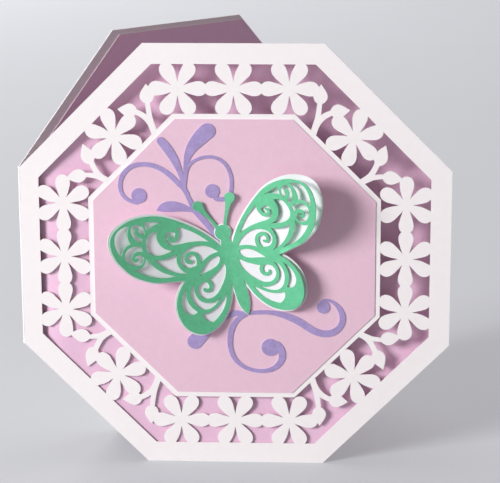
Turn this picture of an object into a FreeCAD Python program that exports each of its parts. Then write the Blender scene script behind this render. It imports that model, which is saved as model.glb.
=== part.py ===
"""Folded octagonal greeting card: a cut lattice front, a loose folded insert and a raised butterfly.

Everything is drawn in the front panel's own frame: X runs from the card's fold to its free edge,
Y runs up the panel and +Z points out of its front face, which is the plane Z = 0.  The fold's
axis is parallel to Y.  The last step stands all the pieces upright, with +Z up.
"""
import FreeCAD
import Part

import math
import os

from FreeCAD import Placement, Rotation, Vector

doc = FreeCAD.newDocument("greeting_card")

# ------------------------------------------------------------------ driving dimensions, mm and degrees
DIMENSIONS = [
    # the folded card
    ("card_width", 145.0),            # across the flats of each octagonal panel
    ("card_gauge", 0.35),             # thickness of the white card
    ("opening_angle", 46.6),          # between the front and the back panel
    # the lattice band of the front panel
    ("window_margin", 6.9),           # from the panel's edge to the band
    ("band_width", 16.6),
    ("flower_bias", 0.15),            # how far the flowers sit outside the middle of the band
    ("petal_bite", 1.5),              # how far a petal runs past the edge of the band
    ("petal_overlap", 1.1),           # of the petals of neighbouring flowers
    ("petal_half", 2.48),             # half width of a petal where it is widest
    ("corner_shift", 0.6),            # the corner flowers sit this much nearer the top and bottom
    ("branch_offset", 8.2),           # of a branch's root from the middle of its slanting side
    # the folded insert
    ("paper_gauge", 0.3),             # thickness of every sheet but the white card
    ("insert_fold_gap", 0.05),        # inside radius of its fold
    ("insert_margin", 1.8),           # of card that shows above and below it
    ("insert_shift", 2.1),            # how far it sits towards the card's free edge
    ("leaf_droop", 2.7),              # by which its front leaf hangs back from the front panel
    # the centre mat and the butterfly glued on it
    ("mat_margin", 1.7),              # of card that shows inside the band
    ("butterfly_x", -3.8),            # middle of the head, from the middle of the panel
    ("butterfly_y", 9.2),
    ("butterfly_turn", 16.4),         # the head leans towards the fold
    ("head_radius", 2.65),
    ("thorax_half", 2.0),             # the overlay's wings bend up along this line
    ("crease_step", 0.2),             # the backing's wings bend up this much further out
    ("overlay_lift_left", 17.5),
    ("overlay_lift_right", 26.0),
    ("backing_lift_left", 15.5),
    ("backing_lift_right", 20.0),
    ("wing_margin", 0.6),             # how far the backing shows around the overlay
    # how closely the facets of an outline follow its curves
    ("facet_depth", 0.07),
]

sizes = doc.addObject("Spreadsheet::Sheet", "sizes")
for row, (alias, value) in enumerate(DIMENSIONS, 1):
    sizes.set("A%d" % row, alias)
    sizes.set("B%d" % row, str(value))
    sizes.setAlias("B%d" % row, alias)
doc.recompute()


def size(alias):
    """One driving dimension, read from the sheet."""
    return float(sizes.get(alias))


OUT = Vector(0, 0, 1)
UP = Vector(0, 1, 0)
ACROSS = Vector(1, 0, 0)
NO_TURN = Rotation()


# Sizes that follow from the driving ones.
PANEL_HALF = size("card_width") / 2
WINDOW_HALF = PANEL_HALF - size("window_margin")
CENTRE_HALF = WINDOW_HALF - size("band_width")
FLOWER_LINE = (WINDOW_HALF + CENTRE_HALF) / 2 + size("flower_bias")
PETAL_REACH = size("band_width") / 2 + size("petal_bite")
FLOWER_PITCH = 2 * PETAL_REACH - size("petal_overlap")
INSERT_WIDTH = "(sizes.card_width - 2 * sizes.insert_margin)"
INSERT_FOLD = "(sizes.paper_gauge + sizes.insert_fold_gap)"
CARD_FOLD = "(sizes.card_gauge + sizes.paper_gauge + sizes.insert_fold_gap)"    # holds the insert when shut
INSERT_OPENING = "(sizes.opening_angle - sizes.leaf_droop)"


# ------------------------------------------------------------------ flat outlines
def smooth(points):
    """A straight edge through two (x, y) points, or a smooth one through more."""
    places = [Vector(x, y, 0) for x, y in points]
    if len(places) == 2:
        return Part.LineSegment(*places).toShape()
    curve = Part.BSplineCurve()
    curve.interpolate(places)
    return curve.toShape()


def arc(start, through, end):
    return Part.Arc(start, through, end).toShape()


def facing_out(face):
    """The same flat face with its normal along +Z, so that faces join and mirror cleanly."""
    page = Part.makePlane(400, 400, Vector(-200, -200, 0))
    return page.common(face).Faces[0]


def face_of(edges):
    """A flat face whose rim is a chain of edges, with straight runs where they stand apart."""
    rim = []
    for edge, following in zip(edges, edges[1:] + edges[:1]):
        rim.append(edge)
        end = edge.valueAt(edge.LastParameter)
        start = following.valueAt(following.FirstParameter)
        if (start - end).Length > 1e-6:
            rim.append(Part.LineSegment(end, start).toShape())
    return facing_out(Part.Face(Part.Wire(rim)))


def joined(faces):
    """Overlapping flat faces as one face."""
    union = faces[0].multiFuse(faces[1:]).removeSplitter()
    if len(union.Faces) != 1:
        raise ValueError("an outline fell into %d faces" % len(union.Faces))
    return union.Faces[0]


def faceted(face):
    """The same face with every curve of its rims as chords, which stay within the facet depth."""
    rims = []
    for wire in [face.OuterWire] + [wire for wire in face.Wires if not wire.isSame(face.OuterWire)]:
        rim = []
        for edge in wire.OrderedEdges:
            run = edge.discretize(Deflection=size("facet_depth"))
            if edge.Orientation == "Reversed":
                run.reverse()
            rim += run[:-1]
        rims.append(Part.makePolygon(rim + rim[:1]))
    return facing_out(Part.Face(rims))


def disc(x, y, radius):
    return facing_out(Part.Face(Part.Wire([Part.Circle(Vector(x, y, 0), OUT, radius).toShape()])))


def octagon(half_width):
    """A regular octagon about the origin, with its sides square to X and Y."""
    radius = half_width / math.cos(math.pi / 8)
    angles = [math.pi * (k + 0.5) / 4 for k in range(9)]
    corners = [Vector(radius * math.cos(a), radius * math.sin(a), 0) for a in angles]
    return facing_out(Part.Face(Part.makePolygon(corners)))


def beyond(face, x):
    """The part of a face on the +X side of x."""
    page = Part.makePlane(400, 400, Vector(x, -200, 0))
    return page.common(face).Faces[0]


def turned(face, degrees, x=0, y=0):
    """A copy of a face, turned about the origin and then moved."""
    copy = face.copy()
    copy.Placement = Placement(Vector(x, y, 0), Rotation(OUT, degrees))
    return copy


def mirrored(face, normal):
    """A copy of a face, mirrored in the plane through the origin that is square to normal."""
    return facing_out(face.mirror(Vector(), normal))


def ribbon(stations):
    """A round-ended band of changing width along (x, y, width) stations."""
    middle = [Vector(x, y, 0) for x, y, _ in stations]
    left = []
    right = []
    for k, (_, _, width) in enumerate(stations):
        ahead = middle[min(k + 1, len(middle) - 1)] - middle[max(k - 1, 0)]
        ahead.normalize()
        side = Vector(-ahead.y, ahead.x, 0) * (width / 2)
        left.append(middle[k] + side)
        right.append(middle[k] - side)
    far_end = arc(left[-1], end_point(middle[-1], middle[-2], stations[-1][2]), right[-1])
    near_end = arc(right[0], end_point(middle[0], middle[1], stations[0][2]), left[0])
    sides = [smooth([(place.x, place.y) for place in side]) for side in (left, right[::-1])]
    return face_of([sides[0], far_end, sides[1], near_end])


def end_point(end, inner, width):
    """The outermost point of a ribbon's round end."""
    outward = end - inner
    outward.normalize()
    return end + outward * (width / 2)


# ------------------------------------------------------------------ the lattice
# Shares of the length and of the half width, from the root of a petal or a bud to its end.
PETAL_PROFILE = [(0.0, 0.18), (0.26, 0.54), (0.5, 0.84), (0.72, 1.0), (0.91, 0.74), (1.0, 0.0)]
BUD_PROFILE = [(0.0, 0.4), (0.15, 0.82), (0.35, 1.0), (0.65, 0.7), (1.0, 0.0)]


def both_sides(base, tip, half_width, profile):
    """The points of both sides of a shape that swells from base and closes at tip."""
    foot = Vector(*base, 0)
    axis = Vector(*tip, 0) - foot
    side = Vector(-axis.y, axis.x, 0).normalize() * half_width
    left = [foot + axis * along + side * out for along, out in profile]
    right = [foot + axis * along - side * out for along, out in reversed(profile)]
    return [[(place.x, place.y) for place in edge] for edge in (left, right)]


def petal():
    """A petal with a round end, pointing along +X."""
    left, right = both_sides((0, 0), (PETAL_REACH, 0), size("petal_half"), PETAL_PROFILE)
    return face_of([smooth(left + right[1:])])


def flower(degrees, x, y):
    """Six petals, the first pointing degrees round from +X."""
    return [turned(petal(), degrees + 60 * k, x, y) for k in range(6)]


def bud(base, tip, half_width):
    """A bud with a round foot and a pointed tip."""
    left, right = both_sides(base, tip, half_width, BUD_PROFILE)
    return face_of([smooth(left), smooth(right)])


# The branches are drawn from their root, which lies on the centre octagon's slanting side.
def top_branch():
    """The forked branch between a corner flower and the top row."""
    root = (0, 0, 2.2)
    return [ribbon([root, (1.1, 3.7, 1.9), (1.8, 7.2, 1.65), (2.1, 10.6, 1.65)]),
            bud((2.1, 9.8), (2.5, 16.2), 2.4),
            ribbon([root, (0.7, 1.9, 2.1), (1.6, 3.6, 2.1), (3.2, 5.2, 2.0), (5.0, 6.3, 1.8),
                    (6.6, 6.9, 1.8)]),
            bud((5.8, 6.9), (12.1, 7.6), 2.35)]


def side_branch():
    """The same between a corner flower and the side row, drawn turned to the top."""
    root = (0, 0, 2.2)
    return [ribbon([root, (1.3, 3.1, 1.8), (1.7, 5.5, 1.5), (1.7, 7.6, 1.5)]),
            bud((1.75, 6.8), (0.6, 13.6), 2.3),
            ribbon([root, (0.9, 1.4, 2.1), (2.1, 2.7, 2.0), (3.6, 3.65, 1.9), (5.0, 4.35, 1.9),
                    (6.6, 5.1, 2.0)]),
            bud((5.7, 5.0), (12.3, 7.6), 2.3)]


def lattice_quarter():
    """The corner flower and the two branches in the +X, +Y quarter."""
    slant = FLOWER_LINE / math.sqrt(2)
    shift = size("corner_shift")
    edge = CENTRE_HALF / math.sqrt(2)
    offset = size("branch_offset")
    by_top = [turned(piece, 0, edge - offset, edge + offset) for piece in top_branch()]
    by_side = [turned(piece, 0, edge - offset, edge + offset) for piece in side_branch()]
    swap = ACROSS - UP
    return flower(15, slant - shift, slant + shift) + by_top + [mirrored(piece, swap) for piece in by_side]


def lattice():
    """Every petal and branch of the band, about the middle of the panel."""
    motifs = []
    for side in range(4):
        for place in (-1, 0, 1):
            middle = Rotation(OUT, 90 * side).multVec(Vector(place * FLOWER_PITCH, FLOWER_LINE, 0))
            motifs += flower(90 * side, middle.x, middle.y)
    quarter = lattice_quarter()
    half = quarter + [mirrored(piece, ACROSS) for piece in quarter]
    return motifs + half + [mirrored(piece, UP) for piece in half]


def front_outline():
    """The front panel with its lattice, from its left edge at X = 0."""
    rim = octagon(PANEL_HALF).cut(octagon(WINDOW_HALF)).Faces[0]
    whole = faceted(joined([rim, octagon(CENTRE_HALF)] + lattice()))
    return turned(whole, 0, PANEL_HALF)


# ------------------------------------------------------------------ the flourishes
def upper_flourish():
    """Three leaves and two scrolls on one stem that starts under the butterfly's thorax."""
    stem = [(-4.5, 6, 1.7), (-8.4, 10.8, 1.9), (-10.3, 13.1, 2.0), (-13.5, 17, 1.8), (-15.1, 20.5, 1.5),
            (-16.5, 23, 1.4), (-17, 26, 1.6)]
    left_scroll = [(-15.6, 22, 1.4), (-16.9, 23.9, 1.6), (-18.9, 25.9, 1.7), (-21.3, 28.3, 1.7),
                   (-24.2, 30.4, 1.6), (-27.5, 31.7, 1.6), (-30.5, 32, 1.5), (-33.8, 31.4, 1.5),
                   (-36.5, 29.3, 1.5), (-37.9, 26.5, 1.4), (-38, 23.5, 1.3), (-36.9, 21, 1.2),
                   (-34.8, 19.5, 1.2), (-32.5, 18.9, 1.2)]
    slim_leaf = [(-17.0, 25.5, 1.2), (-17.6, 28, 1.4), (-18.8, 31.5, 2.2), (-20.3, 34.6, 2.7),
                 (-22.1, 37.4, 3.0), (-24.2, 39.9, 2.7)]
    broad_leaf = [(-16.5, 27, 1.3), (-16.2, 31, 1.2), (-15.6, 34, 2.1), (-14.8, 36.3, 2.9),
                  (-13.4, 38.5, 3.9), (-11.2, 41.1, 4.8), (-8.7, 43.4, 5.2)]
    right_scroll = [(-16.6, 24, 1.3), (-16.0, 29.3, 1.3), (-14.6, 32.2, 1.1), (-12, 33.9, 1.0),
                    (-8.2, 34.65, 1.1), (-4.8, 33.8, 1.15), (-2.2, 31.3, 1.2), (-0.9, 27.5, 1.2),
                    (-0.9, 24, 1.2), (-1.8, 21.3, 1.2), (-3.8, 20.3, 1.4), (-6, 20.6, 1.8)]
    low_leaf = [smooth([(-26, 16.2), (-23.5, 19), (-18.5, 19.1), (-13.4, 16.4)]),
                smooth([(-12.4, 14.9), (-15.5, 15.9), (-22, 15.8), (-26, 16.2)])]
    strokes = [ribbon(stations) for stations in (stem, left_scroll, slim_leaf, broad_leaf, right_scroll)]
    return joined(strokes + [face_of(low_leaf), disc(-31.8, 21.3, 2.55), disc(-7.2, 23.0, 2.4)])


def lower_flourish():
    """Two scrolls and a leaf that start under the butterfly's abdomen."""
    upper_scroll = [(0, -18.8, 1.4), (4, -19.1, 1.2), (8, -18.8, 1.4), (12, -18.8, 1.5), (16, -19.6, 2.0),
                    (20, -21, 2.4), (23.5, -23, 2.5), (27, -25.2, 2.4), (30.5, -26.1, 2.4),
                    (33.8, -25.3, 2.2), (36, -23, 2.0), (36.5, -20.3, 2.0), (35.4, -17.2, 1.6),
                    (33.5, -15.2, 1.1), (31.5, -14.4, 1.0), (29.5, -14.9, 1.0)]
    lower_scroll = [(4, -19.5, 1.2), (1.2, -21.2, 1.6), (-0.7, -24, 1.8), (-1.6, -28, 1.8), (-1.3, -32, 1.6),
                    (0.4, -35.8, 1.5), (3.8, -38.4, 1.3), (8, -39.5, 1.3), (11.8, -39.1, 1.5),
                    (14.8, -37.2, 1.9), (16.1, -34.5, 2.3), (15.7, -32, 2.4), (14.3, -30.2, 2.6)]
    leaf = [(-13.5, -29.3, 5.2), (-11.7, -27.2, 5.0), (-8.7, -24.3, 3.9), (-5, -21.6, 2.5),
            (-1, -19.7, 1.6), (2, -19.2, 1.3)]
    strokes = [ribbon(stations) for stations in (upper_scroll, lower_scroll, leaf)]
    return joined(strokes + [disc(30.0, -16.8, 2.2), disc(12.1, -31.1, 3.0)])


# ------------------------------------------------------------------ the butterfly, head up at the origin
WING_ROOT_TOP = 4.7     # where the wings leave the body, counted towards the tail
WING_ROOT_END = 17.3

WING_RIM = [
    [(0, WING_ROOT_TOP), (2.0, WING_ROOT_TOP)],
    [(2.0, WING_ROOT_TOP), (5.1, 0.1), (8.8, -4.1), (12.2, -7.1), (16.2, -10.1), (20.3, -12.3), (24.3, -13.3),
     (28.6, -13.7), (32.5, -13.0), (35.8, -11.5), (37.5, -9.4), (38.0, -6.3), (37.6, -3.1), (36.0, 0.6),
     (33.7, 4.2), (30.5, 7.0), (26.5, 9.3), (22.5, 10.6), (16.9, 11.9)],
    [(16.9, 11.9), (19.1, 13.8), (21.1, 16.3), (22.3, 19.0), (22.7, 21.5), (22.4, 24.7), (21.2, 27.9),
     (19.1, 30.2), (16.7, 31.4), (13.9, 31.5), (10.8, 30.5), (8.0, 28.5), (5.6, 25.6), (3.7, 22.0),
     (2.5, 18.7), (2.0, WING_ROOT_END)],
    [(2.0, WING_ROOT_END), (0, WING_ROOT_END)]]

# Each opening of the right wing as stretches of (across, along) points; along counts towards the tail.
WING_OPENINGS = [
    # the cell at the wing's tip and the two scroll cells inside it
    [[(29.7, -12.1), (30.8, -10.5), (31.1, -6.2)],
     [(31.1, -6.2), (34.3, -4.8), (35.3, -3.2)],
     [(35.3, -3.2), (36.2, -7.9), (34.8, -11.0), (32.9, -12.0), (29.7, -12.1)]],
    [[(26.5, -6.9), (27.2, -5.3)],
     [(27.2, -5.3), (28.8, -6.4), (29.6, -8.5), (29.6, -10.3), (28.7, -11.6), (27.1, -11.6), (25.7, -10.6),
      (25.2, -9.1), (26.5, -6.9)]],
    [[(28.0, -2.0), (27.7, -4.0)],
     [(27.7, -4.0), (29.9, -4.9), (32.0, -4.9), (33.5, -4.1), (34.3, -2.5), (33.9, -0.8), (31.2, 1.5),
      (29.5, 1.6), (28.4, 0.4), (28.0, -2.0)]],
    # along the upper edge, then the long crescent and the fan below it
    [[(24.2, -11.6), (18.5, -9.5)],
     [(18.5, -9.5), (22.9, -9.2), (24.5, -8.5)],
     [(24.5, -8.5), (24.6, -10.0), (24.2, -11.6)]],
    [[(21.3, -7.2), (23.2, -7.3), (25.0, -6.3), (26.1, -4.4), (26.4, -2.3), (25.6, -0.6), (24.0, 0.5),
      (21.5, 1.0), (16.3, 0.6)],
     [(16.3, 0.6), (20.0, -0.3), (21.4, -2.0), (22.0, -4.0), (21.3, -7.2)]],
    [[(13.8, -6.3), (9.2, -2.5), (5.7, 1.7)],
     [(5.7, 1.7), (10.2, 0.2), (13.7, -0.4), (16.7, -0.8), (18.3, -1.5), (19.2, -2.8), (19.3, -4.3),
      (17.2, -5.7), (15.9, -5.0), (13.8, -6.3)]],
    # the round cell by the body, the two slivers outside it and the lancet below it
    [[(3.6, 6.0), (6.8, 3.0), (9.1, 2.0), (11.7, 1.7), (14.1, 2.3), (15.9, 3.6), (16.5, 5.4), (15.9, 7.1),
      (14.5, 8.2), (12.7, 8.3), (10.6, 8.2)],
     [(10.6, 8.2), (7.3, 6.5), (3.6, 6.0)]],
    [[(24.9, 1.8), (22.0, 2.6), (16.9, 2.3)],
     [(16.9, 2.3), (17.6, 3.6), (17.4, 7.6), (14.9, 10.1)],
     [(14.9, 10.1), (20.3, 7.5), (24.9, 1.8)]],
    [[(27.5, 0.3), (24.9, 5.1), (19.4, 9.5)],
     [(19.4, 9.5), (26.6, 7.3), (32.3, 2.7)],
     [(32.3, 2.7), (29.1, 2.4), (27.5, 0.3)]],
    [[(12.1, 12.1), (9.2, 9.2), (4.8, 7.4), (3.7, 7.7), (3.8, 8.8), (7.0, 11.0), (12.1, 12.1)]],
    # the lower wing
    [[(2.7, 10.3), (4.8, 12.0), (9.3, 14.2)],
     [(9.3, 14.2), (11.6, 14.4), (13.4, 15.5), (14.0, 17.3), (13.3, 19.1), (11.7, 20.3), (9.6, 20.4),
      (7.6, 19.4), (5.6, 17.5), (2.8, 12.7), (2.7, 10.3)]],
    [[(14.1, 14.0), (16.2, 15.8), (16.8, 18.1), (16.1, 20.8), (14.8, 22.8), (13.0, 23.8), (10.8, 23.6),
      (7.1, 21.2)],
     [(7.1, 21.2), (10.5, 22.0), (13.8, 20.6), (15.1, 16.7), (14.1, 14.0)]],
    [[(17.4, 14.5), (20.2, 18.2), (20.6, 20.5), (20.0, 22.4), (18.7, 23.7), (16.2, 23.5)],
     [(16.2, 23.5), (18.2, 19.6), (17.4, 14.5)]],
    [[(14.8, 24.8), (12.8, 25.0), (8.5, 23.5), (4.9, 20.6)],
     [(4.9, 20.6), (7.6, 25.6), (12.1, 28.6)],
     [(12.1, 28.6), (14.7, 26.0), (14.8, 24.8)]]]

# The small scrolls that stand inside five of the cells: (across, along, width).
WING_SCROLLS = [
    [(26.2, -7.0, 1.5), (27.5, -8.1, 1.3), (27.9, -9.5, 1.0), (27.1, -10.0, 0.9)],
    [(27.6, -1.0, 1.5), (29.2, -2.2, 1.3), (30.7, -2.2, 1.2), (31.6, -1.3, 1.1), (31.2, -0.3, 1.0),
     (30.3, -0.4, 0.9)],
    [(14.9, -5.8, 1.5), (15.1, -3.7, 1.3), (16.3, -2.5, 1.2), (17.7, -2.7, 1.1), (18.1, -3.9, 1.0),
     (17.4, -4.4, 0.9)],
    [(11.3, 8.6, 1.5), (10.6, 6.2, 1.4), (11.1, 4.5, 1.3), (12.7, 3.6, 1.2), (14.2, 4.1, 1.1),
     (14.7, 5.4, 1.0), (14.1, 6.5, 0.9), (13.0, 6.2, 0.8)],
    [(10.4, 13.9, 1.5), (9.2, 15.6, 1.3), (9.3, 16.9, 1.2), (10.3, 17.7, 1.1), (11.4, 17.5, 1.0),
     (11.7, 16.8, 0.9)]]


def pattern_face(stretches):
    """A face from smooth stretches of (across, along) points, with the head up."""
    return face_of([smooth([(across, -along) for across, along in stretch]) for stretch in stretches])


def wing_outline():
    return faceted(pattern_face(WING_RIM))


def wing_filigree():
    """The right wing's flat pattern: its outline less the cells, with the scrolls left standing."""
    openings = [faceted(pattern_face(stretches)) for stretches in WING_OPENINGS]
    scrolls = [faceted(ribbon([(across, -along, width) for across, along, width in stations]))
               for stations in WING_SCROLLS]
    return joined([wing_outline().cut(openings).Faces[0]] + scrolls)


def body_outline(half, margin):
    """Head, thorax of the given half width and abdomen as one outline, with a margin all round."""
    neck = Vector(1.35 + margin, -2.4 - margin / 2, 0)
    abdomen = [(half, -WING_ROOT_END), (2.1 + margin, -21.5), (1.5 + margin, -26.8), (0, -29.8 - margin)]
    right = [Part.LineSegment(neck, Vector(half, -WING_ROOT_TOP, 0)).toShape(), smooth(abdomen)]
    left = [smooth([(-x, y) for x, y in abdomen[::-1]]),
            Part.LineSegment(Vector(-half, -WING_ROOT_TOP, 0), Vector(-neck.x, neck.y, 0)).toShape()]
    return joined([face_of(right + left), disc(0, -0.2, size("head_radius") + margin)])


def antenna(side):
    """A thin stalk that swells into a club, to the left (-1) or right (+1) of the head."""
    return ribbon([(side * 1.3, 1.6, 1.2), (side * 3.0, 5.9, 1.0), (side * 4.2, 8.5, 1.6),
                   (side * 5.35, 10.9, 3.3)])


# ------------------------------------------------------------------ sheets from outlines
def outline(name, face):
    """A flat outline in the document, for a sheet to be made from."""
    feature = doc.addObject("Part::Feature", name + "_outline")
    feature.Shape = face
    return feature


def sheet(name, base, gauge, inward=False):
    """An outline given the gauge of its sheet, outwards or inwards."""
    plate = doc.addObject("Part::Extrusion", name + "_sheet")
    plate.Base = base
    plate.DirMode = "Custom"
    plate.Dir = OUT * (-1 if inward else 1)
    plate.Solid = True
    plate.setExpression("LengthFwd", "sizes." + gauge)
    return plate


def octagon_outline(name, half_width):
    """A document octagon about the origin, bound to an expression for half its width."""
    polygon = doc.addObject("Part::RegularPolygon", name + "_outline")
    polygon.Polygon = 8
    polygon.setExpression("Circumradius", "(%s) / cos(22.5 deg)" % half_width)
    polygon.Placement = Placement(Vector(), Rotation(OUT, 22.5))
    return polygon


def fused(name, pieces):
    """One solid made of pieces that overlap or share a face."""
    union = doc.addObject("Part::MultiFuse", name)
    union.Shapes = pieces
    union.Refine = True
    return union


def worked_out(expression):
    """What an expression of the sheet's sizes comes to."""
    return float(sizes.evalExpression(expression.replace("sizes.", "")))


def fold(name, width, radius, gauge, opening):
    """The bent strip of a fold, from the front face round to the back leaf."""
    shells = []
    for layer, reach in (("outside", radius), ("inside", "%s - sizes.%s" % (radius, gauge))):
        cylinder = doc.addObject("Part::Cylinder", "%s_fold_%s" % (name, layer))
        cylinder.setExpression("Radius", reach)
        cylinder.setExpression("Angle", "180 - %s" % opening)
        cylinder.setExpression("Height", "%s * tan(22.5 deg) + 2 * %s" % (width, radius))
        shells.append(cylinder)
    strip = doc.addObject("Part::Cut", name + "_fold")
    strip.Base, strip.Tool = shells
    reach = worked_out(radius)
    half_length = worked_out(width) / 2 * math.tan(math.pi / 8) + reach
    strip.Placement = Placement(Vector(reach, half_length, -reach), Rotation(OUT, -ACROSS, -UP, "ZXY"))
    return strip


def opened(radius, opening):
    """The turn about a fold's axis that opens the back leaf."""
    reach = worked_out(radius)
    return Placement(Vector(), Rotation(UP, worked_out(opening)), Vector(reach, 0, -reach))


def folded_sheet(name, front_face, width, radius, gauge, opening):
    """An octagonal sheet folded once: a front leaf just behind Z = 0, a fold and an opened back leaf."""
    reach = worked_out(radius)
    plain = turned(octagon(worked_out(width) / 2), 0, worked_out(width) / 2)
    front = sheet(name + "_front", outline(name + "_front", beyond(front_face or plain, reach)), gauge, True)
    back = sheet(name + "_back", outline(name + "_back", beyond(plain, reach)), gauge)
    back.Placement = opened(radius, opening) * Placement(OUT * (-2 * reach), NO_TURN)
    return fused(name, [front, fold(name, width, radius, gauge, opening), back])


# ------------------------------------------------------------------ the folded sheets
def card_base():
    """The white card: lattice panel in front, plain panel behind."""
    return folded_sheet("card_base", front_outline(), "sizes.card_width", CARD_FOLD, "card_gauge",
                        "sizes.opening_angle")


def insert():
    """The pink sheet, with its back leaf flat on the card's back panel and its front leaf loose."""
    pink = folded_sheet("insert", None, INSERT_WIDTH, INSERT_FOLD, "paper_gauge", INSERT_OPENING)
    setback = size("insert_margin") + size("insert_shift")
    lift = size("card_gauge") - 2 * worked_out(CARD_FOLD) + 2 * worked_out(INSERT_FOLD)
    shut = Placement(Vector(setback, 0, lift), NO_TURN)
    pink.Placement = (opened(CARD_FOLD, "sizes.opening_angle") * shut
                      * opened(INSERT_FOLD, INSERT_OPENING).inverse())
    return pink


# ------------------------------------------------------------------ what is glued on the front panel
MIDDLE = Vector(PANEL_HALF, 0, 0)


def layer(count):
    """The height of the front panel's n-th glued layer of paper."""
    return OUT * (count * size("paper_gauge"))


def centre_mat():
    half_width = "sizes.card_width / 2 - sizes.window_margin - sizes.band_width - sizes.mat_margin"
    mat = sheet("centre_mat", octagon_outline("centre_mat", half_width), "paper_gauge")
    mat.Placement = Placement(MIDDLE + layer(0), NO_TURN)
    return mat


def flourish(name, face):
    piece = sheet(name, outline(name, faceted(face)), "paper_gauge")
    piece.Placement = Placement(MIDDLE + layer(1), NO_TURN)
    return piece


def lifted_wing(name, wing, side, crease, lift):
    """One wing of a butterfly sheet, cut off at its crease and bent up about it; side is -1 or +1."""
    flat = beyond(wing, crease)
    if side < 0:
        flat = mirrored(flat, ACROSS)
    piece = sheet(name, outline(name, flat), "paper_gauge")
    piece.Placement = Placement(Vector(), Rotation(UP, -side * size(lift)), Vector(side * crease, 0, 0))
    return piece


def butterfly(name, body, wing, crease, lifts, count):
    """A butterfly sheet: a flat body strip glued down, and two wings bent up beside it."""
    strip = sheet(name + "_body", outline(name + "_body", faceted(body)), "paper_gauge")
    wings = [lifted_wing("%s_%s" % (name, label), wing, side, crease, lift)
             for label, side, lift in (("left", -1, lifts[0]), ("right", 1, lifts[1]))]
    whole = fused(name, [strip] + wings)
    place = MIDDLE + layer(count) + Vector(size("butterfly_x"), size("butterfly_y"), 0)
    whole.Placement = Placement(place, Rotation(OUT, size("butterfly_turn")))
    return whole


def butterfly_overlay():
    """The green filigree with its antennae."""
    body = joined([body_outline(size("thorax_half"), 0), antenna(-1), antenna(1)])
    return butterfly("butterfly_overlay", body, wing_filigree(), size("thorax_half"),
                     ("overlay_lift_left", "overlay_lift_right"), 3)


def butterfly_backing():
    """The plain white butterfly under the filigree, a little larger all round."""
    crease = size("thorax_half") + size("crease_step")
    wing = facing_out(wing_outline().makeOffset2D(size("wing_margin"), join=2))
    body = body_outline(crease, size("wing_margin") / 2)
    return butterfly("butterfly_backing", body, wing, crease, ("backing_lift_left", "backing_lift_right"), 2)


# ------------------------------------------------------------------ assembly
pieces = {
    "card_base": card_base(),
    "insert": insert(),
    "centre_mat": centre_mat(),
    "upper_flourish": flourish("upper_flourish", upper_flourish()),
    "lower_flourish": flourish("lower_flourish", lower_flourish()),
    "butterfly_backing": butterfly_backing(),
    "butterfly_overlay": butterfly_overlay(),
}
doc.recompute()

standing = Placement(Vector(), Rotation(ACROSS, 90))
box = FreeCAD.BoundBox()
for piece in pieces.values():
    upright = piece.Shape.copy()
    upright.Placement = standing * upright.Placement
    box.add(upright.optimalBoundingBox())
to_origin = Placement(Vector(-box.Center.x, -box.Center.y, -box.ZMin), NO_TURN)
for name, piece in pieces.items():
    piece.Placement = to_origin * standing * piece.Placement
    piece.Label = name
doc.recompute()

for item in doc.Objects:
    broken = [state for state in item.State if state in ("Invalid", "Error")]
    if broken:
        raise RuntimeError("%s: %s" % (item.Label, broken))
os.makedirs("parts", exist_ok=True)
for name, piece in pieces.items():
    shape = piece.Shape
    if shape.isNull() or not shape.isValid() or len(shape.Solids) != 1:
        raise RuntimeError("%s is not one valid solid" % name)
    shape.exportStep("parts/%s.step" % name)
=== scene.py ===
"""The looks of a folded greeting card: cut card, pearl papers, curled butterfly wings.

Lengths are millimetres, and become metres only where a mesh, a texture, a lamp or the camera is
made. +X is to the right of the front panel, +Z is up, and the panel looks along -Y.
"""
import math

import bpy
from mathutils import Matrix, Vector
from mathutils.geometry import delaunay_2d_cdt
from mathutils.kdtree import KDTree


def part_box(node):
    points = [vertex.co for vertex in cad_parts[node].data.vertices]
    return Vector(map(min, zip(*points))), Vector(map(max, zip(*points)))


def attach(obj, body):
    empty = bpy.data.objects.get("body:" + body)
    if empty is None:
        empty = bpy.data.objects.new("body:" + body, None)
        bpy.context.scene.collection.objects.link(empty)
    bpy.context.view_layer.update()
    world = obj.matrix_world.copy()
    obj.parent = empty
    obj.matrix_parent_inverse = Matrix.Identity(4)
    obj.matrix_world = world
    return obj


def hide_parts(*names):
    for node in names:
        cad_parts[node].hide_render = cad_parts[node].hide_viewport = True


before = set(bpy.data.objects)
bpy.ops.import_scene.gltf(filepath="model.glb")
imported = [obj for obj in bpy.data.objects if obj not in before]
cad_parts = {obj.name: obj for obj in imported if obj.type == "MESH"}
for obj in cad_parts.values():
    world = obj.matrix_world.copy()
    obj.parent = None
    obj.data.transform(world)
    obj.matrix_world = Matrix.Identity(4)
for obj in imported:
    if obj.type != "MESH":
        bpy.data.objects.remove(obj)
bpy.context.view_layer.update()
scene = bpy.context.scene

MM = 0.001

# ------------------------------------------------------------------ sizes of the card's solids
CARD_GAUGE = 0.35
PAPER_GAUGE = 0.3
CARD_FOLD_RADIUS = 0.7
INSERT_FOLD_RADIUS = 0.35
OPENING = math.radians(46.6)
DROOP = math.radians(2.7)
BUTTERFLY_PLACE = (-3.8, 9.2)
BUTTERFLY_TURN = math.radians(16.4)
OVERLAY_CREASE = 2.0            # the wings bend up this far from the body's axis
BACKING_CREASE = 2.2
OVERLAY_LIFTS = (17.5, 26.0)    # by these angles, left and right
BACKING_LIFTS = (15.5, 20.0)

card_low, card_high = [Vector(corner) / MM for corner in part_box("card_base")]
FRONT_Y = card_low.y
LEFT_X = card_low.x
PANEL_WIDTH = card_high.z - card_low.z
MIDDLE_X = LEFT_X + PANEL_WIDTH / 2
MIDDLE_Z = (card_low.z + card_high.z) / 2


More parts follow.
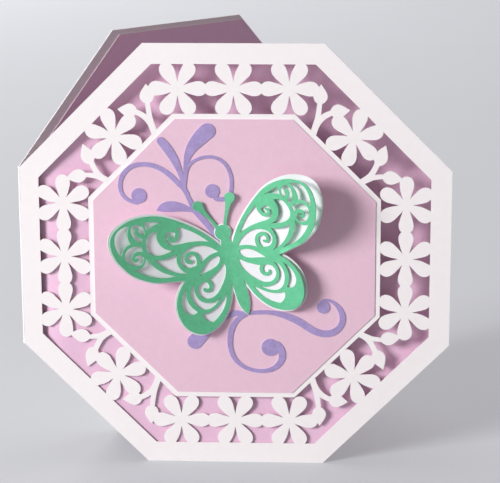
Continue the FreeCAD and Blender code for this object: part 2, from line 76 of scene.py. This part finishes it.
# ------------------------------------------------------------------ outlines read from the frame
ON_PANEL = 0.9999    # least share of a face's normal that looks out of the panel: flat on it,
ON_WING = 0.88       # or on a wing that rises from it
def cap_rims(node, least):
    """The closed rims of the faces of a CAD node that look out of the front panel."""
    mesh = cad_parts[node].data
    edges = set()
    for polygon in mesh.polygons:
        if -polygon.normal.y < least:
            continue
        corners = [tuple(round(c / MM, 3) for c in mesh.vertices[i].co) for i in polygon.vertices]
        for a, b in zip(corners, corners[1:] + corners[:1]):
            if (b, a) in edges:
                edges.discard((b, a))
            elif a != b:
                edges.add((a, b))
    following = {}
    for a, b in edges:
        following.setdefault(a, []).append(b)
    rims = []
    while following:
        start = next(iter(following))
        rim = [start]
        place = following[start].pop()
        while place != start:
            rim.append(place)
            place = following[place].pop()
        for corner in rim:
            if corner in following and not following[corner]:
                del following[corner]
        rims.append([Vector(corner) for corner in rim])
    return rims


def turning(before, here, after):
    """The angle by which a rim turns at a point."""
    return abs((here - before).angle_signed(after - here, 0.0))


CORNER = math.radians(38)
SHORTEST = 0.03
LEAST_CORNERS = 6


def is_run(length, beside):
    """Whether an edge of a rim is a straight run, not one chord of a curve, by the edge beside it."""
    return length > 2.2 * beside + 1.0


def rounded(rim, parts=3):
    """A rim with its curves drawn smoothly through its points, and its corners and long runs kept."""
    rim = [rim[k] for k in range(len(rim)) if (rim[k] - rim[k - 1]).length > SHORTEST]
    count = len(rim)
    if count < LEAST_CORNERS:
        return rim
    lengths = [(rim[(k + 1) % count] - rim[k]).length for k in range(count)]
    sharp = [turning(rim[k - 1], rim[k], rim[(k + 1) % count]) > CORNER for k in range(count)]
    smooth_rim = []
    for k in range(count):
        onward = (k + 1) % count
        a, b = rim[k], rim[onward]
        smooth_rim.append(a)
        before, length, after = lengths[k - 1], lengths[k], lengths[onward]
        if sharp[k] and sharp[onward] or is_run(length, min(before, after)):
            continue
        start = tangent(rim[k - 1], a, b, sharp[k], is_run(before, length)) * length
        end = -tangent(rim[(k + 2) % count], b, a, sharp[onward], is_run(after, length)) * length
        smooth_rim += [hermite(a, start, b, end, part / parts) for part in range(1, parts)]
    return smooth_rim


def tangent(before, here, after, is_corner, after_straight):
    """The direction in which a curve leaves a point towards the next one."""
    onward = (after - here).normalized()
    if is_corner:
        return onward
    inward = (here - before).normalized()
    if after_straight:
        return inward
    share = (here - before).length / ((here - before).length + (after - here).length)
    return (onward * share + inward * (1 - share)).normalized()


def hermite(a, start, b, end, t):
    """The point at share t of a cubic curve from a to b with these tangents."""
    square = t * t
    cube = square * t
    return (a * (2 * cube - 3 * square + 1) + start * (cube - 2 * square + t)
            + b * (3 * square - 2 * cube) + end * (cube - square))


# ------------------------------------------------------------------ sheets
APART = 0.45    # least distance from a point of the grid to any other, in spacings


def grid_between(points, low, high, spacing, creases):
    """Points in staggered rows from low to high, none of them near a crease or a given point."""
    tree = KDTree(len(points))
    for k, place in enumerate(points):
        tree.insert((place.x, place.y, 0), k)
    tree.balance()
    grid = []
    for row in range(int((high.y - low.y) / spacing) + 1):
        for column in range(int((high.x - low.x) / spacing) + 1):
            place = low + Vector(((column + 0.5 * (row % 2)) * spacing, (row + 0.37) * spacing))
            near_crease = any(abs(place.x - across) < APART * spacing for across in creases)
            if not near_crease and tree.find((place.x, place.y, 0))[2] > APART * spacing:
                grid.append(place)
    return grid


def filled(rims, spacing, creases=(), marks=()):
    """Flat points and triangles that fill the rims, with a grid of points and marks to bend at."""
    points = [place for rim in rims for place in rim]
    low = Vector((min(p.x for p in points), min(p.y for p in points)))
    high = Vector((max(p.x for p in points), max(p.y for p in points)))
    edges = []
    for rim in rims:
        first = len(edges)
        edges += [(first + k, first + (k + 1) % len(rim)) for k in range(len(rim))]
    rim_count = len(edges)
    for across in creases:
        edges.append((len(points), len(points) + 1))
        points += [Vector((across, low.y - 1)), Vector((across, high.y + 1))]
    points += marks
    points += grid_between(points, low, high, spacing, creases)
    places, links, triangles, _, sources, _ = delaunay_2d_cdt(points, edges, [], 0, 1e-4)
    rim_links = {frozenset(link) for link, source in zip(links, sources)
                 if any(k < rim_count for k in source)}
    triangles = inside(triangles, rim_links)
    used = sorted({k for triangle in triangles for k in triangle})
    index = {k: n for n, k in enumerate(used)}
    return [places[k] for k in used], [tuple(index[k] for k in triangle) for triangle in triangles]


def inside(triangles, rim_links):
    """The triangles within the rims: those an odd number of rims away from the outermost edges."""
    owners = {}
    for k, triangle in enumerate(triangles):
        for a, b in zip(triangle, triangle[1:] + triangle[:1]):
            owners.setdefault(frozenset((a, b)), []).append(k)
    state = {}
    waiting = [(members[0], link in rim_links) for link, members in owners.items() if len(members) == 1]
    while waiting:
        k, within = waiting.pop()
        if k in state:
            continue
        state[k] = within
        triangle = triangles[k]
        for a, b in zip(triangle, triangle[1:] + triangle[:1]):
            link = frozenset((a, b))
            waiting += [(other, within != (link in rim_links)) for other in owners[link] if other != k]
    return [triangle for k, triangle in enumerate(triangles) if state[k]]


CRISP = math.radians(35)


def sheet(name, rims, gauge, shape, spacing, materials, creases=(), marks=()):
    """A sheet of paper: rims filled and given a gauge, then bent by shape(across, up, out)."""
    places, triangles = filled(rims, spacing, creases, marks)
    count = len(places)
    half = gauge / 2
    corners = [shape(p.x, p.y, half) for p in places] + [shape(p.x, p.y, -half) for p in places]
    faces = list(triangles) + [tuple(count + k for k in reversed(triangle)) for triangle in triangles]
    rim_edges = {}
    for triangle in triangles:
        for a, b in zip(triangle, triangle[1:] + triangle[:1]):
            rim_edges[(a, b)] = rim_edges.get((a, b), 0) + 1
    walls = [(b, a, count + a, count + b) for (a, b) in rim_edges if (b, a) not in rim_edges]
    mesh = bpy.data.meshes.new(name)
    mesh.from_pydata([corner * MM for corner in corners], [], faces + walls)
    for material in materials:
        mesh.materials.append(material)
    for polygon in list(mesh.polygons)[len(faces):]:
        polygon.material_index = 1
    mesh.polygons.foreach_set("use_smooth", [True] * len(mesh.polygons))
    mesh.set_sharp_from_angle(angle=CRISP)
    mesh.update()
    piece = bpy.data.objects.new(name, mesh)
    scene.collection.objects.link(piece)
    return piece


def stands_for(piece, node):
    """The piece replaces a CAD node and goes where it goes."""
    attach(piece, "root")
    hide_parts(node)


class Fold:
    """The bend of a folded sheet, seen from above, with its outermost faces at low.x and low.y."""

    def __init__(self, low, radius, gauge, opening, turn):
        self.middle = radius - gauge / 2
        self.sweep = math.pi - opening
        self.length = self.middle * self.sweep
        self.turn = turn
        self.axis = Vector((low.x + radius, low.y + radius))

    def creases(self, parts=8):
        """Lines across which the sheet bends, counted as along is in place()."""
        return [-self.length * k / parts for k in range(parts + 1)]

    def place(self, along, up, out):
        """A point of the sheet: along is counted from the front end of the bend."""
        bend = min(max(-along, 0.0), self.length)
        run = along + bend
        angle = bend / self.middle - self.turn
        ahead = Vector((math.cos(angle), -math.sin(angle)))
        outward = Vector((-math.sin(angle), -math.cos(angle)))
        flat = self.axis + ahead * run + outward * (self.middle + out)
        return Vector((flat.x, flat.y, MIDDLE_Z + up))


def both_leaves(front, fold):
    """The outline of a whole unfolded sheet from the corners of its front leaf, lower to upper."""
    back = [Vector((-fold.length - corner.x, corner.y)) for corner in reversed(front)]
    return front + back


# ------------------------------------------------------------------ materials
def srgb(red, green, blue):
    """A colour given as it looks on a screen, from 0 to 255, as a shader takes it."""
    return [((c / 255 + 0.055) / 1.055) ** 2.4 for c in (red, green, blue)]


class Paint:
    """A material under construction: adds nodes to it and links them."""

    def __init__(self, name):
        self.material = bpy.data.materials.new(name)
        self.material.use_nodes = True
        self.tree = self.material.node_tree
        self.shader = self.tree.nodes["Principled BSDF"]
        self.place = self.tree.nodes.new("ShaderNodeTexCoord").outputs["Object"]

    def set(self, **values):
        """Values that are the same all over, each on the shader's own socket."""
        for socket, value in values.items():
            self.shader.inputs[socket.replace("_", " ")].default_value = value

    def stretched(self, stretch):
        """The place on the piece, stretched so that a texture on it runs long one way."""
        mapping = self.tree.nodes.new("ShaderNodeMapping")
        mapping.inputs["Scale"].default_value = stretch
        self.tree.links.new(self.place, mapping.inputs["Vector"])
        return mapping.outputs["Vector"]

    def noise(self, size, detail=4.0, roughness=0.55, stretch=None):
        """Noise from 0 to 1 whose largest blobs are about size millimetres across."""
        noise = self.tree.nodes.new("ShaderNodeTexNoise")
        noise.inputs["Scale"].default_value = 1 / (size * MM)
        noise.inputs["Detail"].default_value = detail
        noise.inputs["Roughness"].default_value = roughness
        self.tree.links.new(self.stretched(stretch) if stretch else self.place, noise.inputs["Vector"])
        return noise.outputs["Fac"]

    def ranged(self, factor, low, high, start=0.3, end=0.7):
        """A factor spread over a range of values."""
        spread = self.tree.nodes.new("ShaderNodeMapRange")
        for socket, value in (("From Min", start), ("From Max", end), ("To Min", low), ("To Max", high)):
            spread.inputs[socket].default_value = value
        self.tree.links.new(factor, spread.inputs["Value"])
        return spread.outputs["Result"]

    def mixed(self, factor, first, second):
        """A colour between two colours or colour outputs."""
        mix = self.tree.nodes.new("ShaderNodeMix")
        mix.data_type = "RGBA"
        self.tree.links.new(factor, mix.inputs["Factor"])
        for socket, colour in ((mix.inputs[6], first), (mix.inputs[7], second)):
            if isinstance(colour, bpy.types.NodeSocket):
                self.tree.links.new(colour, socket)
            else:
                socket.default_value = (*colour, 1)
        return mix.outputs[2]

    def to(self, output, socket):
        """An output linked to one of the shader's sockets."""
        self.tree.links.new(output, self.shader.inputs[socket])

    def bumps(self, layers):
        """Relief from (height output, depth in millimetres) layers."""
        normal = None
        for height, depth in layers:
            bump = self.tree.nodes.new("ShaderNodeBump")
            bump.inputs["Distance"].default_value = depth * MM
            self.tree.links.new(height, bump.inputs["Height"])
            if normal:
                self.tree.links.new(normal, bump.inputs["Normal"])
            normal = bump.outputs["Normal"]
        self.to(normal, "Normal")


def shade(colour, share):
    """A colour made darker or lighter by a share of itself."""
    return [min(c * share, 1.0) for c in colour]


def paper(name, colour, mottle=0.03, cloud=3.0, **values):
    """Smooth uncoated paper or card: a cloudy formation, fine fibres and a slight tooth."""
    paint = Paint(name)
    paint.set(Roughness=0.62, **values)
    clouds = paint.noise(cloud, detail=5.0)
    fibres = paint.noise(0.5, detail=6.0, roughness=0.65, stretch=(1.0, 1.0, 0.35))
    body = paint.mixed(paint.ranged(clouds, 0, 1), shade(colour, 1 - mottle), shade(colour, 1 + mottle))
    tone = paint.mixed(paint.ranged(fibres, 0.0, 0.35), body, shade(colour, 1 - 3 * mottle))
    paint.to(tone, "Base Color")
    paint.bumps([(clouds, 0.03), (fibres, 0.015)])
    return paint.material


def pearl_paper(name, colour, painted_glint, mottle=0.06, metallic=0.3, roughness=0.42, fleck=0.45, **values):
    """Pearl paper: pigment flakes that shine a little, in a grainy mottle, with a painted glint: lighter
    flecks painted into the base colour.
    """
    paint = Paint(name)
    paint.set(Metallic=metallic, **values)
    clouds = paint.noise(2.6, detail=5.0)
    flecks = paint.noise(fleck, detail=3.0, roughness=0.7)
    body = paint.mixed(paint.ranged(clouds, 0, 1), shade(colour, 1 - mottle), shade(colour, 1 + mottle))
    # Painted glint: the flecks get a lighter colour painted into the base colour, standing in for light off
    # the flakes.
    tone = paint.mixed(paint.ranged(flecks, 0.0, 0.5, 0.45, 0.7), body, painted_glint)
    paint.to(tone, "Base Color")
    paint.to(paint.ranged(flecks, roughness - 0.08, roughness + 0.1), "Roughness")
    paint.bumps([(clouds, 0.03), (flecks, 0.012)])
    return paint.material


white_card = paper("white_card", srgb(246, 242, 242), mottle=0.012, Specular_IOR_Level=0.4)
card_edge = paper("card_edge", srgb(246, 243, 240), mottle=0.02)
pink_paper = pearl_paper("pink_paper", srgb(233, 192, 218), srgb(243, 207, 228), mottle=0.02, metallic=0.15)
pink_edge = paper("pink_edge", srgb(243, 224, 232), mottle=0.02)
pale_pink_paper = pearl_paper("pale_pink_paper", srgb(234, 197, 215), srgb(241, 207, 223), mottle=0.02,
                              metallic=0.15)
lilac_paper = pearl_paper("lilac_paper", srgb(168, 149, 201), srgb(192, 180, 220), mottle=0.1)
lilac_edge = paper("lilac_edge", srgb(196, 184, 222), mottle=0.02)
pearl_white_paper = pearl_paper("pearl_white_paper", srgb(246, 244, 248), srgb(252, 252, 255), mottle=0.02)
green_paper = pearl_paper("green_paper", srgb(92, 194, 143), srgb(124, 216, 168), mottle=0.08, metallic=0.3,
                          roughness=0.45, Specular_IOR_Level=1.0)
green_edge = paper("green_edge", srgb(168, 226, 196), mottle=0.02)


# ------------------------------------------------------------------ the card and its insert
card_fold = Fold(card_low, CARD_FOLD_RADIUS, CARD_GAUGE, OPENING, 0.0)


DASH_PITCH = 1.17    # of the cuts along the fold
DASH_DEPTH = 0.16


def card_shape(across, up, out):
    """The folded card, with the row of short dashes that were cut along its fold to help it bend."""
    beside = max(1 - abs(2 * across / card_fold.length + 1), 0)
    dash = 0.5 + 0.5 * math.cos(2 * math.pi * up / DASH_PITCH)
    return card_fold.place(across, up, out - DASH_DEPTH * beside * dash)


def dash_marks(side):
    """Points across the bend at every quarter of a dash, along a fold that reaches side each way."""
    rows = int(side / DASH_PITCH * 4)
    return [Vector((across, row * DASH_PITCH / 4)) for across in card_fold.creases()[1:-1]
            for row in range(-rows, rows + 1)]


def card_flat(place):
    """Where a point of the front panel lies on the unfolded card."""
    return Vector((place.x - card_fold.axis.x, place.z - MIDDLE_Z))


def octagon_leaf(width, start):
    """The corners of an octagonal leaf that begins start from its fold's side, lower to upper."""
    half = width / 2
    side = half * math.tan(math.pi / 8)
    cut = half - side
    return [Vector((start, -side - start)), Vector((cut, -half)), Vector((width - cut, -half)),
            Vector((width, -side)), Vector((width, side)), Vector((width - cut, half)),
            Vector((cut, half)), Vector((start, side + start))]


def ordered(outer):
    """An outer rim started at its lower corner by the fold, running round to the upper one."""
    by_fold = sorted(range(len(outer)), key=lambda k: outer[k].x)[:2]
    first = min(by_fold, key=lambda k: outer[k].y)
    turned = outer[first:] + outer[:first]
    if turned[-1].x > 0.01:
        turned = [turned[0]] + turned[:0:-1]
    return turned


def make_card():
    """The white card: both panels, the fold and the lattice of the front panel in one sheet."""
    rims = sorted(cap_rims("card_base", ON_PANEL), key=lambda rim: min(p.x for p in rim))
    holes = [rounded([card_flat(place) for place in rim]) for rim in rims[1:]]
    outer = [card_flat(place) for place in rims[0]]
    dashes = dash_marks(PANEL_WIDTH / 2 * math.tan(math.pi / 8))
    piece = sheet("card", [both_leaves(ordered(outer), card_fold)] + holes, CARD_GAUGE, card_shape, 4.0,
                  [white_card, card_edge], card_fold.creases(), dashes)
    stands_for(piece, "card_base")


insert_low, insert_high = [Vector(corner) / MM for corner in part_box("insert")]
INSERT_WIDTH = insert_high.z - insert_low.z
insert_fold = Fold(insert_low, INSERT_FOLD_RADIUS, PAPER_GAUGE, OPENING - DROOP, DROOP)


LOOSE_END = 9.0     # the loose leaf leaves its fold over this length
LEAST_GAP = 0.5


def loose_gap(x, up):
    """How far the insert's loose front leaf hangs behind the front panel: it is slightly twisted."""
    return max(4.15 + 0.0525 * x + 0.0588 * up + 0.00056 * x * up, LEAST_GAP)


def eased(share):
    """A share from 0 to 1 that starts and ends gently."""
    share = min(max(share, 0.0), 1.0)
    return share * share * (3 - 2 * share)


def insert_shape(across, up, out):
    """The folded insert, with its front leaf hanging loose behind the card's front panel."""
    place = insert_fold.place(across, up, out)
    if across > 0:
        wanted = FRONT_Y + CARD_GAUGE + loose_gap(place.x - MIDDLE_X, up) + PAPER_GAUGE / 2 - out
        place.y += (wanted - place.y) * eased(across / LOOSE_END)
    return place


def make_insert():
    """The folded pink sheet inside, an octagonal leaf each side of its fold."""
    front = octagon_leaf(INSERT_WIDTH, INSERT_FOLD_RADIUS)
    leaf = [corner - Vector((INSERT_FOLD_RADIUS, 0)) for corner in front]
    piece = sheet("insert_sheet", [both_leaves(leaf, insert_fold)], PAPER_GAUGE, insert_shape, 4.0,
                  [pink_paper, pink_edge], insert_fold.creases())
    stands_for(piece, "insert")


# ------------------------------------------------------------------ flat papers glued on the front
def panel_flat(place):
    """Where a point lies on the front panel, from its middle."""
    return Vector((place.x - MIDDLE_X, place.z - MIDDLE_Z))


def make_flat(name, node, materials):
    """A flat piece glued on the front panel."""
    low, high = [Vector(corner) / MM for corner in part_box(node)]
    middle_y = (low.y + high.y) / 2

    def shape(x, up, out):
        return Vector((MIDDLE_X + x, middle_y - out, MIDDLE_Z + up))

    rims = [rounded([panel_flat(place) for place in rim]) for rim in cap_rims(node, ON_PANEL)]
    piece = sheet(name, rims, high.y - low.y, shape, 4.0, materials)
    stands_for(piece, node)


# ------------------------------------------------------------------ the butterfly
TAIL = Vector((math.sin(BUTTERFLY_TURN), -math.cos(BUTTERFLY_TURN)))
RIGHT = Vector((math.cos(BUTTERFLY_TURN), math.sin(BUTTERFLY_TURN)))
PIVOT = 6.0          # the lines along which a wing bends turn about this point of its crease
WING_REACH = 50.0
STEP = 0.25


class Wing:
    """How a wing rises from its crease: its tilt grows along lines that turn a little."""

    def __init__(self, crease, knots, skew):
        self.crease = crease
        self.skew = math.radians(skew)
        self.runs, self.rises = [0.0], [0.0]
        for k in range(int(WING_REACH / STEP)):
            tilt = self.tilt((k + 0.5) * STEP, knots)
            self.runs.append(self.runs[-1] + STEP * math.cos(tilt))
            self.rises.append(self.rises[-1] + STEP * math.sin(tilt))

    @staticmethod
    def tilt(far, knots):
        """The wing's tilt at a distance from its crease, from knots of distance and tilt."""
        for (a, tilt_a), (b, tilt_b) in zip(knots, knots[1:]):
            if far <= b:
                return math.radians(tilt_a + (tilt_b - tilt_a) * max(far - a, 0) / (b - a))
        return math.radians(knots[-1][1])

    def place(self, along, far, out):
        """Where a point along the body and far from its axis goes, with its height."""
        beyond = far - self.crease
        across = beyond * math.cos(self.skew) + (along - PIVOT) * math.sin(self.skew)
        down = -beyond * math.sin(self.skew) + (along - PIVOT) * math.cos(self.skew)
        if beyond <= 0 or across <= 0:
            return along, far, out
        k = min(int(across / STEP), len(self.runs) - 2)
        part = across / STEP - k
        run = self.runs[k] + (self.runs[k + 1] - self.runs[k]) * part
        rise = self.rises[k] + (self.rises[k + 1] - self.rises[k]) * part
        ahead = (self.runs[k + 1] - self.runs[k]) / STEP
        upward = (self.rises[k + 1] - self.rises[k]) / STEP
        run -= out * upward
        far = run * math.cos(self.skew) - down * math.sin(self.skew) + self.crease
        along = run * math.sin(self.skew) + down * math.cos(self.skew) + PIVOT
        return along, far, rise + out * ahead


OVERLAY_WINGS = (Wing(OVERLAY_CREASE, ((0, 11.1), (48, 31.7)), 0.0),
                 Wing(OVERLAY_CREASE, ((0, 9.1), (6, 9.2), (12, 21.6), (18, 27.6), (26, 33.6),
                                       (38, 39.5)), -4.3))
BACKING_WINGS = (Wing(BACKING_CREASE, ((0, 9.6), (48, 29.0)), 0.0),
                 Wing(BACKING_CREASE, ((0, 8), (6, 8.5), (12, 16), (18, 20), (26, 25), (38, 27)), -4.3))


def butterfly_flat(crease, lifts):
    """What lays a CAD butterfly's outer face flat: its wings are unrolled about their creases."""
    def flatten(place):
        rel = panel_flat(place) - Vector(BUTTERFLY_PLACE)
        far = rel.dot(RIGHT)
        lift = math.radians(lifts[0] if far < 0 else lifts[1])
        hinge = crease - PAPER_GAUGE * math.tan(lift / 2)
        flat = hinge + (abs(far) - hinge) / math.cos(lift) if abs(far) > hinge else abs(far)
        return TAIL * rel.dot(TAIL) + RIGHT * math.copysign(flat, far)
    return flatten


def make_butterfly(name, node, crease, lifts, wings, materials):
    """A paper butterfly whose wings curve up from the creases beside its body."""
    low, high = [Vector(corner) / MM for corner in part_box(node)]
    middle_y = high.y - PAPER_GAUGE / 2
    flatten = butterfly_flat(crease, lifts)

    def shape(x, up, out):
        flat = Vector((x, up))
        far = flat.dot(RIGHT)
        wing = wings[0] if far < 0 else wings[1]
        along, reach, height = wing.place(flat.dot(TAIL), abs(far), out)
        place = Vector(BUTTERFLY_PLACE) + TAIL * along + RIGHT * math.copysign(reach, far)
        return Vector((MIDDLE_X + place.x, middle_y - height, MIDDLE_Z + place.y))

    rims = [rounded([flatten(place) for place in rim]) for rim in cap_rims(node, ON_WING)]
    piece = sheet(name, rims, PAPER_GAUGE, shape, 1.5, materials)
    stands_for(piece, node)


make_card()
make_insert()
make_flat("mat", "centre_mat", [pale_pink_paper, pink_edge])
make_flat("flourish_above", "upper_flourish", [lilac_paper, lilac_edge])
make_flat("flourish_below", "lower_flourish", [lilac_paper, lilac_edge])
make_butterfly("butterfly_white", "butterfly_backing", BACKING_CREASE, BACKING_LIFTS,
               BACKING_WINGS, [pearl_white_paper, card_edge])
make_butterfly("butterfly_green", "butterfly_overlay", OVERLAY_CREASE, OVERLAY_LIFTS,
               OVERLAY_WINGS, [green_paper, green_edge])


# ------------------------------------------------------------------ floor, light and camera
def seen_rays(tree):
    """1 for the rays that the camera sees directly or through gloss and glass, otherwise 0."""
    rays = tree.nodes.new("ShaderNodeLightPath")
    seen = rays.outputs["Is Camera Ray"]
    for kind in ("Is Glossy Ray", "Is Transmission Ray"):
        either = tree.nodes.new("ShaderNodeMath")
        either.operation = "MAXIMUM"
        tree.links.new(seen, either.inputs[0])
        tree.links.new(rays.outputs[kind], either.inputs[1])
        seen = either.outputs[0]
    return seen


def floor_material():
    """A pale matt floor that looks a little paler to the camera, and keeps the shadow on it."""
    paint = Paint("floor_paint")
    paint.set(Roughness=0.9)
    clouds = paint.noise(90.0, detail=3.0)
    paint.to(paint.mixed(clouds, [0.36, 0.37, 0.39], [0.38, 0.39, 0.41]), "Base Color")
    paint.set(Emission_Color=(0.93, 0.96, 1.0, 1))
    seen = seen_rays(paint.tree)
    glow = paint.tree.nodes.new("ShaderNodeMath")
    glow.operation = "MULTIPLY"
    glow.inputs[1].default_value = 0.27
    paint.tree.links.new(seen, glow.inputs[0])
    paint.to(glow.outputs[0], "Emission Strength")
    return paint.material


def make_floor():
    """A plain floor that reaches so many metres each way."""
    reach = 12.0
    mesh = bpy.data.meshes.new("floor")
    mesh.from_pydata([(-reach, -reach, 0), (reach, -reach, 0), (reach, reach, 0), (-reach, reach, 0)], [],
                     [(0, 1, 2, 3)])
    mesh.materials.append(floor_material())
    floor = bpy.data.objects.new("floor", mesh)
    scene.collection.objects.link(floor)


def aimed(name, data, place, target):
    """A lamp or camera at a place, in millimetres, that looks at a target."""
    viewer = bpy.data.objects.new(name, data)
    scene.collection.objects.link(viewer)
    turn = (target - place).to_track_quat("-Z", "Y").to_matrix().to_4x4()
    viewer.matrix_world = Matrix.Translation(place * MM) @ turn
    return viewer


def soft_lamp(name, across, energy, place, target):
    """A round area lamp, across metres wide."""
    lamp = bpy.data.lights.new(name, "AREA")
    lamp.shape = "DISK"
    lamp.size = across
    lamp.energy = energy
    aimed(name, lamp, place, target)


def make_lights(centre):
    """A large soft lamp from the left, high in front, and a dimmer one from behind."""
    toward = Vector((-12.7, -11.4, 5.7)).normalized()
    soft_lamp("key", 0.75, 45.5, centre + toward * 2000, centre)
    soft_lamp("fill", 1.5, 22.0, centre + Vector((-700, 1700, 900)), centre)


def make_world():
    """A dim, slightly warm sky that gives the shadows their light, and looks pale itself."""
    world = bpy.data.worlds.new("studio")
    world.use_nodes = True
    tree = world.node_tree
    sky = tree.nodes["Background"]
    sky.inputs["Color"].default_value = (1.0, 0.83, 0.9, 1)
    sky.inputs["Strength"].default_value = 0.21
    pale = tree.nodes.new("ShaderNodeBackground")
    pale.inputs["Color"].default_value = (0.96, 0.98, 1.0, 1)
    pale.inputs["Strength"].default_value = 0.55
    both = tree.nodes.new("ShaderNodeMixShader")
    tree.links.new(seen_rays(tree), both.inputs["Fac"])
    tree.links.new(sky.outputs[0], both.inputs[1])
    tree.links.new(pale.outputs[0], both.inputs[2])
    tree.links.new(both.outputs[0], tree.nodes["World Output"].inputs["Surface"])
    scene.world = world


SENSOR_WIDTH = 36.0
PICTURE_WIDTH = 500
FOCAL_LENGTH = 1994     # in pixels of that picture


def make_camera(centre):
    """The camera, a little above the card's middle and to its right, turned slightly clockwise."""
    camera = bpy.data.cameras.new("camera")
    camera.sensor_width = SENSOR_WIDTH
    camera.lens = FOCAL_LENGTH * SENSOR_WIDTH / PICTURE_WIDTH
    camera.clip_start = 0.01
    view = aimed("camera", camera, centre + Vector((38.4, -649.2, 163.9)), centre + Vector((5.3, 0, 5.7)))
    view.matrix_world = view.matrix_world @ Matrix.Rotation(math.radians(-0.22), 4, "Z")
    scene.camera = view


centre = Vector((MIDDLE_X, FRONT_Y, MIDDLE_Z))
make_floor()
make_lights(centre)
make_world()
make_camera(centre)
scene.view_settings.view_transform = "Standard"
